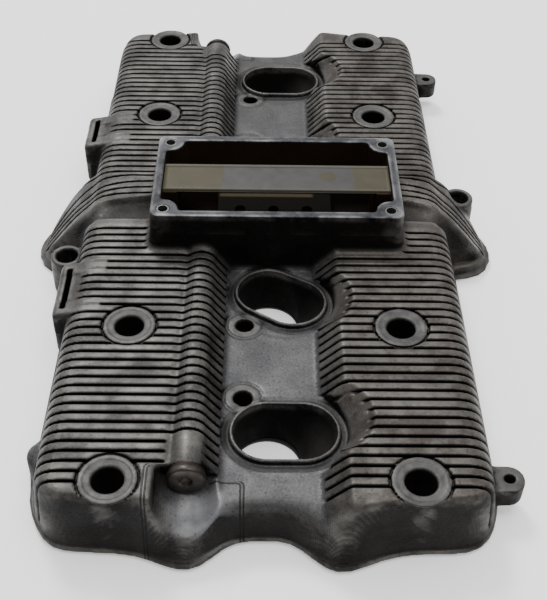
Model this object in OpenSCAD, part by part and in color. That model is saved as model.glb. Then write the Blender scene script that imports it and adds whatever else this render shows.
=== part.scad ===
// Finned cam cover for the cylinder head of an in-line four, seen bare of its bolts.
// Millimetres. X across the engine, Y along the camshafts, Z up.
// Origin: middle of the sealing plane, on the underside of the rubber gasket.

/* [Overall] */
// Height of the flat tower tops above the sealing plane
tower_h = 37.5; // [34:0.5:42]
// Half width of the sealing flange over the two towers
half_w = 104.5; // [100:0.5:110]
// Half width over the curved side wings
wing_w = 126.5; // [118:0.5:132]
// Thickness of the rubber under the flange
rubber_t = 1; // [0.5:0.1:2]
// Drop from tower top to the plug valley floor
valley_drop = 12; // [8:0.5:16]

/* [Cooling fins] */
// Distance from one groove to the next
fin_pitch = 5.215; // [4.5:0.005:6]
// Width of a groove
groove_w = 1.6; // [1.2:0.1:2.6]
// Depth of a groove, square to the surface
groove_d = 3; // [2:0.25:4]
// Height at which the grooves stop on the outer walls
groove_low = 9; // [5:0.5:16]

/* [Cover bolts] */
// Half spacing of the tower bolts across the engine
bolt_x = 64.4; // [60:0.1:72]
// Half spacing of the inner tower bolts along the engine
bolt_y_in = 90; // [84:0.5:96]
// Half spacing of the outer tower bolts along the engine
bolt_y_out = 179.2; // [174:0.1:182]
// Radius of the rubber-washer bolt hole
bolt_r = 6.9; // [5:0.1:8]
// Radius of the round spot-face
boss_r = 12.4; // [11:0.1:14]
// Radius of the small bolt holes in the valley
mid_r = 4.4; // [3.3:0.1:5]

/* [Plug wells] */
// Radius of the round end of a well
well_r = 15.3; // [14:0.1:17]
// Thickness of the raised lip
lip_t = 1.4; // [1:0.1:2]
// Height of the raised lip over the valley
lip_h = 2.2; // [1:0.1:4]

/* [Breather box] */
// Height of the machined rim over the tower tops
rim_h = 21.5; // [18:0.5:26]
// Wall thickness of the breather box
box_t = 4.6; // [3.5:0.1:6]

/* [Hidden] */
T = tower_h;
V = tower_h - valley_drop;
Z0 = rubber_t;
RIM = tower_h + rim_h;
core = groove_d;
bx0 = -58.6;
bx1 = 69.5;
by = 35;
screw_x0 = -52.1;
screw_x1 = 63.0;
screw_y = 28.9;
tube_x = -32.7;
tube_z = T - 6;
tube_end = 171.8;
mid_x = -10.2;
mid_y = [-124.9, -78.1, 78.1, 124.9];
ear_x = 106.6;
ear_y = 163.8;
wing_bolts = [[-105, -24.9], [109.2, 28.6]];
union_y = [-62.5, 75];
union_half = [18.5, 15];
well_y_out = 145.4;
well_y_in = 55.5;
floor_z = T - 9;
strip_z = T + 18.5;
strip_half = 11;
foot_r = 15.2;
lean_r = 14.7;
lean_start = 2.4;
lean_angle = 25;
well_foot = [[1.2, -well_y_out], [1.4, -well_y_in], [1.4, well_y_in], [1.2, well_y_out]];

// half of the flange outline of one end, left to right, seen from above
end_pts = [
  [-104.5, -160], [-103.3, -167], [-101, -173.4], [-98, -179.6], [-94.4, -185],
  [-89.8, -188.8], [-84, -190.5], [-75, -191], [-63, -191.6], [-55, -192.7],
  [-48, -194.9], [-42, -197.3], [-37, -198.8],
  [-32, -199.1], [-27, -197.3], [-22, -193.4], [-17, -189], [-12, -186.4], [-6, -185.2],
  [6, -185.2], [11, -186.4], [16, -189.5], [21, -193.9], [26, -197.9], [31, -199.8],
  [37, -199.3], [43, -197.2], [50, -194.4], [57, -192.4], [65, -191.2], [80, -190.8],
  [87, -190.1], [92.6, -187.8], [96.8, -184], [99.8, -178.6], [102, -172], [103.8, -165],
  [104.5, -158]
];
// right wing, going away along +Y
wing_pts = [
  [104.5, -17], [112, -15.6], [119, -12.8], [124, -8], [126.5, -1], [126.3, 5],
  [124.6, 12], [121.3, 19], [116.6, 25.5], [110.9, 31], [104.5, 35.5]
];
rear_pts = [for (i = [len(end_pts) - 1:-1:0]) [end_pts[i][0], -end_pts[i][1]]];
wing_left = [for (i = [len(wing_pts) - 1:-1:0]) [-wing_pts[i][0], wing_pts[i][1]]];
outline_pts = concat(end_pts, wing_pts, rear_pts, wing_left);

// cross-section of the cover over both towers and the valley, seen along Y
tube_arc = [for (a = [140:-20:20]) [tube_x + 8 * cos(a), tube_z + 8 * sin(a)]];
section_pts = concat(
  [[-half_w - 1, Z0 - 1], [-half_w + 0.6, 5], [-96.2, T - 10], [-95.2, T - 6.5], [-93.2, T - 3.4],
   [-90.2, T - 1.2], [-86.5, T - 0.2], [-83, T], [-42, T]],
  tube_arc,
  [[-18.4, V], [24, V], [35.5, T], [83, T], [86.5, T - 0.2], [90.2, T - 1.2], [93.2, T - 3.4],
   [95.2, T - 6.5], [96.2, T - 10], [half_w - 0.6, 5], [half_w + 1, Z0 - 1]]
);
// profile of the two ends, seen along X
side_pts = [
  [-200, Z0 - 1], [-200, 4], [-189.5, T - 9], [-187.6, T - 4], [-185, T - 1.2], [-181.5, T],
  [-181.5, T + 3], [181.5, T + 3], [181.5, T], [185, T - 1.2], [187.6, T - 4], [189.5, T - 9],
  [200, 4], [200, Z0 - 1]
];
// domed section of the wings, seen along Y
wing_sec = [
  [50, Z0 - 1], [50, T - 0.3], [80, T - 0.3], [88, T - 1.6], [96, T - 5], [103.5, T - 10],
  [110.5, T - 16.5], [116.5, T - 23.5], [121.5, 8], [124.8, 4], [126.4, 1.5], [wing_w, Z0 - 1]
];
wing_core = [
  [50, Z0 - 2], [50, T - 3.3], [79.4, T - 3.3], [87, T - 4.5], [94.6, T - 7.7], [101.7, T - 12.4],
  [108.2, T - 18.5], [114, T - 25.3], [118, 8], [120, 4], [121, Z0 - 2]
];

// points of the shape around two circles, going round once
function pill(x1, y1, r1, x2, y2, r2, n) =
  let (d = norm([x2 - x1, y2 - y1]), a0 = atan2(y2 - y1, x2 - x1), b = acos((r1 - r2) / d))
  concat(
    [for (i = [0:n]) let (a = a0 - b + 2 * b * i / n) [x2 + r2 * cos(a), y2 + r2 * sin(a)]],
    [for (i = [0:n]) let (a = a0 + b + (360 - 2 * b) * i / n) [x1 + r1 * cos(a), y1 + r1 * sin(a)]]
  );

// plug well openings: the outer two are ovals, the inner two lean away from the box
module well_2d(k, g) {
  s = k < 2 ? -1 : 1;
  if (k == 0 || k == 3)
    polygon(pill(1.2, s * well_y_out, well_r + g, 16.7, s * well_y_out, well_r - 0.1 + g, 26));
  else
    polygon(pill(1.4, s * well_y_in, well_r - 0.2 + g, 13.5, s * 62.7, well_r + 0.2 + g, 26));
}

// the leaning upper bore that opens a well towards the exhaust side
module well_lean(k) {
  s = k < 2 ? -1 : 1;
  turn = k == 0 || k == 3 ? 0 : s * 30;
  translate([well_foot[k][0], well_foot[k][1], 5])
    rotate([0, 0, turn])
      intersection() {
        translate([lean_start, 0, 0])
          rotate([0, lean_angle, 0])
            translate([0, 0, -30])
              cylinder(r = lean_r, h = 80, $fn = 72);
        translate([-30, -30, 0])
          cube([70, 60, 40]);
      }
}

// a prism along Y from a profile drawn in X and Z
module along_y(y0, y1) {
  translate([0, y1, 0])
    rotate([90, 0, 0])
      linear_extrude(height = y1 - y0)
        children();
}

module tube_y(x, z, y0, y1, r) {
  translate([x, y1, z])
    rotate([90, 0, 0])
      cylinder(r = r, h = y1 - y0, $fn = 48);
}

module outline_2d() {
  polygon(outline_pts);
}

// the outline that the sealing path follows, passing inside the two wing bolts
module seal_2d(inset) {
  offset(delta = -inset)
    difference() {
      outline_2d();
      for (at = wing_bolts)
        translate(at)
          circle(r = 6.8, $fn = 36);
    }
}

// solid body before the fins are cut
module body_block() {
  intersection() {
    union() {
      along_y(-201, 201)
        polygon(section_pts);
      along_y(-30, 40)
        polygon(wing_sec);
      along_y(-30, 40)
        polygon([for (i = [len(wing_sec) - 1:-1:0]) [-wing_sec[i][0], wing_sec[i][1]]]);
    }
    translate([-140, 0, 0])
      rotate([90, 0, 90])
        linear_extrude(height = 280)
          polygon(side_pts);
    translate([0, 0, Z0])
      linear_extrude(height = 60)
        outline_2d();
  }
}

// sealing flange, a band round the whole foot
module flange_band() {
  translate([0, 0, Z0])
    linear_extrude(height = 3.2)
      outline_2d();
}

// the profile of a left groove, whose inner end is at reach
function left_groove_pts(reach) =
  reach > -60
    ? [[-140, groove_low], [-60, groove_low], [-60, V], [reach, V], [reach, T + 8], [-140, T + 8]]
    : [[-140, groove_low], [reach, groove_low], [reach, T + 8], [-140, T + 8]];

// a groove is everything outside the fin root, above the stop line
module groove(side, y, reach = -18.6) {
  along_y(y - groove_w / 2, y + groove_w / 2)
    difference() {
      if (side < 0)
        polygon(left_groove_pts(reach));
      else
        polygon([[24.2, V], [60, V], [60, groove_low], [140, groove_low], [140, T + 8],
                 [24.2, T + 8]]);
      offset(delta = -core)
        polygon(section_pts);
    }
}

// four curved grooves on each wing, running out from the breather box
module wing_grooves(side) {
  difference() {
    for (r = [31.5, 36.6, 41.7, 46.8])
      translate([side * 75, -19.5, 6])
        difference() {
          cylinder(r = r + groove_w / 2, h = 60, $fn = 96);
          translate([0, 0, -1])
            cylinder(r = r - groove_w / 2, h = 62, $fn = 96);
        }
    along_y(-80, 80)
      polygon([for (p = wing_core) [side * p[0], p[1]]]);
    translate([-75, -90, 0])
      cube([150, 180, 90]);
    translate([side * 100 - 60, -90, 0])
      cube([120, 84, 90]);
  }
  // the straight starts beside the box
  for (r = [31.5, 36.6, 41.7, 46.8])
    translate([side * 68.5 - 8.5, r - 19.4 - groove_w / 2, T - 3.2])
      cube([17, groove_w - 0.2, 10]);
}

// hollow under the towers, valley and wings, open at the bottom
module inner_hollow() {
  difference() {
    hollow_block();
    hollow_keep();
  }
}

module hollow_block() {
  intersection() {
    union() {
      along_y(-201, 201)
        polygon([[-98, Z0 - 2], [-97.4, 8], [-90.6, T - 12], [-87, T - 7.4], [-82, T - 6.2],
                 [-45, T - 6.2], [-42.6, T - 11], [-38, T - 15.6], [-31, T - 17], [24, T - 17],
                 [28.4, T - 17], [38.6, T - 6.2], [82, T - 6.2], [87, T - 7.4],
                 [90.6, T - 12], [97.4, 8], [98, Z0 - 2]]);
      along_y(-10, 28)
        polygon([[-118, Z0 - 2], [-116, 6], [-110, T - 25.5], [-103, T - 18.5], [-92, T - 12],
                 [-80, T - 9.5], [80, T - 9.5], [92, T - 12], [103, T - 18.5],
                 [110, T - 25.5], [116, 6], [118, Z0 - 2]]);
    }
    translate([-140, 0, 0])
      rotate([90, 0, 90])
        linear_extrude(height = 280)
          polygon([[-184.6, Z0 - 2], [-184.6, 12], [-181, T - 10], [-178, T - 5], [178, T - 5],
                   [181, T - 10], [184.6, 12], [184.6, Z0 - 2]]);
    translate([0, 0, Z0 - 2])
      linear_extrude(height = 60)
        seal_2d(6.4);
  }
}

// columns, well walls, the breather floor and ribs that stand inside the hollow
module inner_walls() {
  for (x = [-bolt_x, bolt_x])
    for (y = [-bolt_y_out, -bolt_y_in, bolt_y_in, bolt_y_out])
      translate([x, y, 14])
        cylinder(r = 10.5, h = T - 20, $fn = 48);
  for (y = mid_y)
    translate([mid_x, y, Z0])
      cylinder(r = 9, h = V - Z0 - 2, $fn = 48);
  for (k = [0:3])
    translate([0, 0, Z0])
      linear_extrude(height = V - Z0 - 1)
        well_2d(k, 4);
  // webs that tie the wells to the valley roof
  for (y = [-168, -101, 101, 168])
    translate([-22, y - 2, 14])
      cube([52, 4, V - 17]);
  // floor and skirt of the breather chamber
  translate([bx0 + 1, -by + 1, T - 15])
    cube([bx1 - bx0 - 2, 2 * by - 2, 6]);
  // pads for the chain guide bolts
  for (y = [-22, 22])
    translate([5.5, y, T - 27])
      cylinder(r = 7, h = 16, $fn = 48);
  for (s = [-1, 1])
    tube_y(tube_x, tube_z, s < 0 ? -tube_end : 38, s < 0 ? -38 : tube_end, 5.3);
}

// raised box that closes the breather chamber, with flared feet
module breather_outer() {
  intersection() {
    along_y(-45, 45)
      polygon([[bx0 - 6, V - 2], [bx0 - 6, T - 1], [bx0 - 2.2, T + 1.2], [bx0 - 0.6, T + 5],
               [bx0, RIM], [bx1, RIM], [bx1 + 0.6, T + 5], [bx1 + 2.2, T + 1.2],
               [bx1 + 6, T - 1], [bx1 + 6, V - 2]]);
    translate([-100, 0, 0])
      rotate([90, 0, 90])
        linear_extrude(height = 200)
          polygon([[-by - 5.5, V - 2], [-by - 5.5, V + 0.2], [-by - 2, V + 2.4], [-by - 0.8, V + 7],
                   [-by, RIM], [by, RIM], [by + 0.8, V + 7], [by + 2, V + 2.4],
                   [by + 5.5, V + 0.2], [by + 5.5, V - 2]]);
  }
}

module breather_hollow() {
  difference() {
    translate([bx0 + box_t, -by + box_t, floor_z])
      cube([bx1 - bx0 - 2 * box_t, 2 * (by - box_t), 60]);
    // corner bosses of the four cover screws
    for (x = [screw_x0, screw_x1])
      for (y = [-screw_y, screw_y])
        translate([x, y, floor_z - 1])
          cylinder(r = 7.4, h = 62, $fn = 48);
    // ledges the baffle bar rests on
    for (x = [bx0 + box_t - 1, bx1 - box_t - 8])
      translate([x, -strip_half - 0.6, floor_z - 1])
        cube([9, 2 * strip_half + 1.2, strip_z - floor_z + 1]);
  }
}

// two oil unions on the left flank
module union_boss(k) {
  translate([-105.5, union_y[k] - union_half[k], 6])
    cube([14, 2 * union_half[k], T - 11]);
  translate([-92, union_y[k] - union_half[k], T - 10])
    cube([6, 2 * union_half[k], 7]);
}

// lugs and ears that stand out of the flanks
module outer_lugs() {
  for (k = [0, 1])
    union_boss(k);
  for (y = [-ear_y, ear_y]) {
    translate([ear_x, y, T - 30])
      cylinder(r = 7, h = 11, $fn = 48);
    translate([96, y - 6.9, T - 30])
      cube([ear_x - 96, 13.8, 11]);
  }
  translate([-98.6, -152, Z0])
    cylinder(r = 7, h = T - 18, $fn = 48);
  for (at = wing_bolts)
    translate([at[0], at[1], Z0])
      cylinder(r = 8.3, h = T - 15, $fn = 48);
  translate([-104, -33.1, Z0])
    cube([10, 16.4, T - 17]);
}

// the pocket left in each wing, between the ridge and the first wide fin
module wing_pocket(side) {
  translate([side * 74.5, 0.2, T + 3.4])
    rotate([0, side * 113, 0])
      cylinder(r = 11.2, h = 62, $fn = 60);
  // the flank falls away towards the near end, outside the tower wall
  translate([side * 113.5 - 16.5, 0, 0])
    rotate([90, 0, 90])
      linear_extrude(height = 33)
        polygon([[9, T + 4], [4, T - 8.5], [-2, T - 17], [-8, 13], [-14, 9.5], [-30, 8],
                 [-30, T + 4]]);
}

// open scoop in front of each gallery plug, falling away to the end wall
module bowl(s, r) {
  translate([-30.6, s * 172.6, T + 1.6])
    rotate([s > 0 ? -107 : 107, 0, 0])
      cylinder(r = r, h = 40, $fn = 72);
}

// material kept round the scallops, the bowls and the wing pockets
module hollow_keep() {
  for (s = [-1, 1]) {
    translate([9.7, s * 146, V - 6])
      cylinder(r = 31, h = 11, $fn = 60);
    translate([28.8, s * 144, V - 6])
      cylinder(r1 = 9.2, r2 = 27.2, h = 18, $fn = 60);
    translate([9.7, s * 64.5, V - 6])
      cylinder(r = 27.5, h = 11, $fn = 60);
    translate([26, s * 69, V - 6])
      cylinder(r1 = 7, r2 = 25, h = 18, $fn = 60);
    bowl(s, 20.5);
    translate([s * 74.5, 0.2, T + 3.4])
      rotate([0, s * 113, 0])
        cylinder(r = 15.7, h = 62, $fn = 60);
    translate([s * 113.5 - 20.5, 0, 0])
      rotate([90, 0, 90])
        linear_extrude(height = 41)
          polygon([[13, T + 4], [8, T - 13], [0, T - 23], [-8, 8], [-30, 3.5], [-30, T + 4]]);
  }
}

module cover_casting() {
  color([0.55, 0.54, 0.52])
    difference() {
      union() {
        difference() {
          union() {
            difference() {
              body_block();
              for (n = [0:29])
                groove(-1, -18.8 - fin_pitch * n);
              for (n = [30:31])
                groove(-1, -18.8 - fin_pitch * n, -72);
              for (n = [0:28])
                groove(-1, 176.8 - fin_pitch * n);
              for (n = [0:31])
                groove(1, -182 + fin_pitch * n);
              for (n = [0:28])
                groove(1, 176 - fin_pitch * n);
              wing_grooves(-1);
              wing_grooves(1);
              wing_pocket(-1);
              wing_pocket(1);
              // flat collars and scallops round the wells
              for (s = [-1, 1]) {
                translate([9.7, s * 146, V])
                  cylinder(r = 26.6, h = 30, $fn = 72);
                translate([28.8, s * 144, V])
                  cylinder(r1 = 7.2, r2 = 21.2, h = 14, $fn = 72);
                translate([9.7, s * 64.5, V])
                  cylinder(r = 23, h = 30, $fn = 72);
                translate([26, s * 69, V])
                  cylinder(r1 = 5, r2 = 19, h = 14, $fn = 72);
                bowl(s, 15.6);
              }
              // seats sunk just under the fin tops
              for (x = [-bolt_x, bolt_x])
                for (y = [-bolt_y_out, -bolt_y_in, bolt_y_in, bolt_y_out])
                  translate([x, y, T - 1.2])
                    cylinder(r = boss_r + 0.5, h = 10, $fn = 60);
              inner_hollow();
            }
            inner_walls();
          }
          // room above the breather floor, opened again below
          translate([bx0 + box_t, -by + box_t, floor_z])
            cube([bx1 - bx0 - 2 * box_t, 2 * (by - box_t), 60]);
        }
        flange_ring();
        outer_lugs();
        for (x = [-bolt_x, bolt_x])
          for (y = [-bolt_y_out, -bolt_y_in, bolt_y_in, bolt_y_out])
            translate([x, y, T - 9])
              cylinder(r = boss_r, h = 7.8, $fn = 60);
        for (k = [0:3])
          translate([0, 0, V - 2])
            linear_extrude(height = 2 + lip_h)
              well_2d(k, lip_t);
        for (y = mid_y)
          translate([mid_x, y, V - 1])
            cylinder(r = 8.3, h = 1.5, $fn = 48);
        for (s = [-1, 1])
          tube_y(tube_x, tube_z, s < 0 ? -tube_end : 157, s < 0 ? -157 : tube_end, 8.2);
        difference() {
          breather_outer();
          breather_hollow();
        }
      }
      // bolt holes
      for (x = [-bolt_x, bolt_x])
        for (y = [-bolt_y_out, -bolt_y_in, bolt_y_in, bolt_y_out])
          translate([x, y, 0])
            cylinder(r = bolt_r, h = 70, $fn = 60);
      for (y = mid_y)
        translate([mid_x, y, -1])
          cylinder(r = mid_r, h = 60, $fn = 48);
      // plug wells: a straight bore to the head and one that leans out to the side
      for (k = [0:3]) {
        translate([well_foot[k][0], well_foot[k][1], -1])
          cylinder(r = foot_r, h = 60, $fn = 72);
        well_lean(k);
      }
      // wing bolts, ears and union ports
      for (at = wing_bolts)
        translate([at[0], at[1], -1])
          cylinder(r = 5.7, h = 60, $fn = 48);
      for (y = [-ear_y, ear_y])
        translate([ear_x, y, -1])
          cylinder(r = 2.5, h = 60, $fn = 36);
      for (k = [0, 1]) {
        translate([-106, union_y[k], 16])
          rotate([0, 90, 0])
            cylinder(r = 5, h = 14, $fn = 48);
        // saw slot beside the union plate
        translate([-101.8, union_y[k] - 11, T - 15])
          cube([2.4, 22, 30]);
      }
      // oil gallery along the ribbed tube, opened out for the plug threads
      for (s = [-1, 1]) {
        tube_y(tube_x, tube_z, s < 0 ? -176 : 45, s < 0 ? -45 : 176, 3.5);
        tube_y(tube_x, tube_z, s < 0 ? -176 : 159, s < 0 ? -159 : 176, 5);
      }
      // breather: opening to the chain tunnel, screw holes in the corners
      translate([-22, -14, -1])
        cube([53, 28, 60]);
      for (x = [screw_x0, screw_x1])
        for (y = [-screw_y, screw_y])
          translate([x, y, RIM - 16])
            cylinder(r = 3.2, h = 20, $fn = 40);
      // baffle screws
      for (x = [bx0 + box_t + 4, bx1 - box_t - 4])
        translate([x, 0, strip_z - 10])
          cylinder(r = 1.7, h = 20, $fn = 30);
      // chain guide bolts
      for (y = [-22, 22])
        translate([5.5, y, 0])
          cylinder(r = 2.6, h = T - 17, $fn = 36);
      // dowel seats at the foot of two valley bolt columns
      for (y = [mid_y[0], mid_y[3]])
        translate([mid_x, y, 0])
          cylinder(r = 6.5, h = 8, $fn = 48);
    }
}

// flange ring inside the band, wide enough for the gasket
module flange_ring() {
  difference() {
    flange_band();
    translate([0, 0, Z0 - 2])
      linear_extrude(height = 8)
        seal_2d(6.4);
  }
}

// plug that closes one end of the oil gallery, its hex socket in a dimple
module gallery_plug(s) {
  color([0.62, 0.62, 0.60])
    translate([tube_x, s * (tube_end + 1.5), tube_z])
      rotate([s > 0 ? -90 : 90, 0, 0])
        difference() {
          union() {
            cylinder(r = 8.3, h = 2.5, $fn = 60);
            translate([0, 0, 2.5])
              cylinder(r1 = 8.3, r2 = 7.3, h = 1, $fn = 60);
            translate([0, 0, -12.6])
              cylinder(r = 4.95, h = 13, $fn = 48);
          }
          translate([0, 0, 1.5])
            cylinder(r1 = 1.4, r2 = 2.8, h = 2.1, $fn = 36);
        }
}

// crush washer under the plug head
module gallery_washer(s) {
  color([0.60, 0.40, 0.22])
    translate([tube_x, s * tube_end, tube_z])
      rotate([s > 0 ? -90 : 90, 0, 0])
        difference() {
          cylinder(r = 7.8, h = 1.5, $fn = 60);
          translate([0, 0, -1])
            cylinder(r = 5.05, h = 4, $fn = 48);
        }
}

module gallery_plug_front() {
  gallery_plug(-1);
}

module gallery_plug_rear() {
  gallery_plug(1);
}

module gallery_washer_front() {
  gallery_washer(-1);
}

module gallery_washer_rear() {
  gallery_washer(1);
}

// long folded bar across the breather chamber
module baffle_bar() {
  color([0.50, 0.46, 0.34])
    difference() {
      union() {
        translate([bx0 + box_t + 0.4, -strip_half, strip_z])
          cube([bx1 - bx0 - 2 * box_t - 0.8, 2 * strip_half, 1.5]);
        for (y = [-strip_half, strip_half - 1.5])
          translate([bx0 + box_t + 9.5, y, strip_z - 5])
            cube([bx1 - bx0 - 2 * box_t - 18.4, 1.5, 6]);
      }
      for (x = [bx0 + box_t + 4, bx1 - box_t - 4])
        translate([x, 0, strip_z - 10]) {
          cylinder(r = 1.9, h = 20, $fn = 30);
          translate([0, 0, 10])
            cylinder(r1 = 1.9, r2 = 3.6, h = 1.7, $fn = 36);
        }
    }
}

// two countersunk screws that hold the bar to its ledges
module baffle_screws() {
  color([0.55, 0.55, 0.55])
    for (x = [bx0 + box_t + 4, bx1 - box_t - 4])
      translate([x, 0, strip_z - 7])
        difference() {
          union() {
            cylinder(r = 1.65, h = 7.2, $fn = 30);
            translate([0, 0, 7])
              cylinder(r1 = 1.75, r2 = 3.2, h = 1.45, $fn = 36);
          }
          translate([-4, -0.4, 7.8])
            cube([8, 0.8, 2]);
        }
}

// shallow tray over the opening in the chamber floor, on four feet
module baffle_tray() {
  color([0.46, 0.42, 0.30])
    difference() {
      union() {
        translate([-26, -17, floor_z + 6])
          cube([61, 34, 1.5]);
        for (y = [-17, 15.5])
          translate([-26, y, floor_z + 6])
            cube([61, 1.5, 4]);
        for (x = [-26, 31])
          for (y = [-17, 13])
            translate([x, y, floor_z])
              cube([4, 4, 6.2]);
      }
      for (x = [-14, 4, 22])
        translate([x, 0, floor_z])
          cylinder(r = 3, h = 20, $fn = 36);
    }
}

// wire thread sleeve in one corner of the breather rim
module thread_sleeve(x, y) {
  color([0.70, 0.68, 0.62])
    translate([x, y, RIM - 15])
      difference() {
        cylinder(r = 3.15, h = 14.6, $fn = 40);
        translate([0, 0, -1])
          cylinder(r = 2.5, h = 18, $fn = 36);
      }
}

module thread_sleeve_fl() {
  thread_sleeve(screw_x0, -screw_y);
}

module thread_sleeve_fr() {
  thread_sleeve(screw_x1, -screw_y);
}

module thread_sleeve_rl() {
  thread_sleeve(screw_x0, screw_y);
}

module thread_sleeve_rr() {
  thread_sleeve(screw_x1, screw_y);
}

// rubber cord round the foot of the cover
module perimeter_gasket() {
  color([0.08, 0.08, 0.08])
    linear_extrude(height = rubber_t)
      difference() {
        seal_2d(1.2);
        seal_2d(6);
      }
}

// rubber rings between the wells and the head
module well_seal(k) {
  color([0.09, 0.09, 0.09])
    linear_extrude(height = rubber_t)
      difference() {
        translate([well_foot[k][0], well_foot[k][1]])
          circle(r = foot_r + 3.6, $fn = 60);
        translate([well_foot[k][0], well_foot[k][1]])
          circle(r = foot_r + 0.4, $fn = 60);
      }
}

module plug_well_seal_1() {
  well_seal(0);
}

module plug_well_seal_2() {
  well_seal(1);
}

module plug_well_seal_3() {
  well_seal(2);
}

module plug_well_seal_4() {
  well_seal(3);
}

// hollow dowels that place the cover on the head
module dowel_sleeves() {
  color([0.50, 0.50, 0.50])
    for (y = [mid_y[0], mid_y[3]])
      translate([mid_x, y, 0.2])
        difference() {
          cylinder(r = 6.48, h = 7.8, $fn = 48);
          translate([0, 0, -1])
            cylinder(r = 5, h = 10, $fn = 48);
        }
}

// steel bridge over the cam chain, bolted under the breather floor
module chain_guide_carrier() {
  color([0.45, 0.45, 0.45])
    difference() {
      union() {
        translate([-3, -30, T - 30])
          cube([17, 60, 3]);
      }
      for (y = [-22, 22])
        translate([5.5, y, T - 32])
          cylinder(r = 2.7, h = 6, $fn = 36);
    }
}

// rubbing pad of the chain guide
module chain_guide_pad() {
  color([0.10, 0.10, 0.10])
    translate([-1, -16, T - 34])
      cube([13, 32, 4]);
}

module chain_guide_bolts() {
  color([0.55, 0.55, 0.57])
    for (y = [-22, 22])
      translate([5.5, y, T - 33.5]) {
        cylinder(r = 4.4, h = 3.5, $fn = 6);
        translate([0, 0, 3])
          cylinder(r = 2.55, h = 13, $fn = 36);
      }
}

cover_casting();
gallery_plug_front();
gallery_plug_rear();
gallery_washer_front();
gallery_washer_rear();
baffle_bar();
baffle_screws();
baffle_tray();
thread_sleeve_fl();
thread_sleeve_fr();
thread_sleeve_rl();
thread_sleeve_rr();
perimeter_gasket();
plug_well_seal_1();
plug_well_seal_2();
plug_well_seal_3();
plug_well_seal_4();
dowel_sleeves();
chain_guide_carrier();
chain_guide_pad();
chain_guide_bolts();
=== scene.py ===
"""Looks of the finned cam cover: cast body, machined seats, baffle, plugs and seals."""
import math

import bpy
import numpy as np
from mathutils import Matrix, Vector


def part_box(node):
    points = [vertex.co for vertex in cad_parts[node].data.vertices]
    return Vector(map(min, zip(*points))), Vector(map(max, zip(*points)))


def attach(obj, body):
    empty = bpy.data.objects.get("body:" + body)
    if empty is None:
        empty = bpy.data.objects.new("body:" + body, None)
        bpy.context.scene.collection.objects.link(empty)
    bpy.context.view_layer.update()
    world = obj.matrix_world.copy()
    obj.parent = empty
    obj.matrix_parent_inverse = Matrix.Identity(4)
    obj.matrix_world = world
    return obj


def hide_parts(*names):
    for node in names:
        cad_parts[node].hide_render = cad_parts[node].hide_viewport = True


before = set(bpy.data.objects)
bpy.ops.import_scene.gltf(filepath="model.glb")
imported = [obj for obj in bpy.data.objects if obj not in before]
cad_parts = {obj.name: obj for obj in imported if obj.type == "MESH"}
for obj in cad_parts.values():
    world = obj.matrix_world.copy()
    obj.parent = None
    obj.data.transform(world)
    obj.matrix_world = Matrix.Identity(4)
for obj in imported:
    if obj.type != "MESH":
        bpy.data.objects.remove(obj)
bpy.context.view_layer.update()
MM = 0.001

# ---------------------------------------------------------------- dimensions, millimetres
LOW, HIGH = [[v / MM for v in corner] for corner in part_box("cover_casting")]
RUBBER = LOW[2]
RIM = HIGH[2]
T = RIM - 21.5           # flat tower tops
V = T - 12.0             # plug valley floor
PITCH = 5.215
GROOVE = 1.3             # width of a groove between two fins
DEEP = 3.2
FLANGE = 3.6             # height of the flange round the foot
BOLT_X = 64.4
BOLT_Y = (-179.2, -90.0, 90.0, 179.2)
BOLT_R = 6.9
SEAT_R = 12.4
SEAT_Z = T - 0.4
MID = [(-10.2, y) for y in (-124.9, -78.1, 78.1, 124.9)]
BOX = (-58.6, 69.5, 35.0)
BOX_WALL = 4.6
SCREWS = [(x, y) for x in (-52.1, 63.0) for y in (-28.9, 28.9)]
TUBE = (-32.7, T - 6.0)
TUBE_R = 8.3
TUBE_BORE = 5.0
TUBE_END = 171.8
# the scoop in front of each gallery plug: middle, radius, cosine and sine of its tilt
BOWL_X = -30.6
BOWL_R = 15.4
BOWL_TILT = (0.956, 0.292)
WING_BOLTS = [(-105.0, -24.9), (109.2, 28.6)]
EAR = (106.6, 163.8)
# union blocks: (y, half length, outer x, slot x)
UNIONS = [(-62.5, 18.5, -103.5, -98.4), (75.0, 15.0, -106.6, -101.0)]
CHAMBER_FLOOR = T - 9.0
# plug wells: the two circles of the mouth and the round foot, (x, y, r)
WELLS = []
for side in (-1, 1):
    WELLS.append(((1.2, side * 145.4, 15.3), (16.7, side * 145.4, 15.2), (2.2, side * 143.4, 14.6)))
    WELLS.append(((1.4, side * 55.5, 15.1), (13.5, side * 62.7, 15.5), (2.2, side * 54.4, 14.6)))


# ---------------------------------------------------------------- distance fields
def smin(a, b, k):
    h = np.clip(0.5 + 0.5 * (b - a) / k, 0.0, 1.0)
    return b + (a - b) * h - k * h * (1.0 - h)


def smax(a, b, k):
    return -smin(-a, -b, k)


def ease(v, lo, hi):
    t = np.clip((v - lo) / (hi - lo), 0.0, 1.0)
    return t * t * (3.0 - 2.0 * t)


def polygon_distance(px, py, pts):
    """Signed distance to a closed polygon, negative inside."""
    best = np.full(np.broadcast(px, py).shape, 1e9, np.float32)
    inside = np.zeros(best.shape, bool)
    for (ax, ay), (bx, by) in zip(pts, pts[1:] + pts[:1]):
        ex, ey = bx - ax, by - ay
        wx, wy = px - ax, py - ay
        t = np.clip((wx * ex + wy * ey) / max(ex * ex + ey * ey, 1e-9), 0.0, 1.0)
        best = np.minimum(best, (wx - ex * t) ** 2 + (wy - ey * t) ** 2)
        crosses = (ay > py) != (by > py)
        if ey:
            inside ^= crosses & (px < ax + ex * (py - ay) / ey)
    return (np.sqrt(best) * np.where(inside, -1.0, 1.0)).astype(np.float32)


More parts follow.
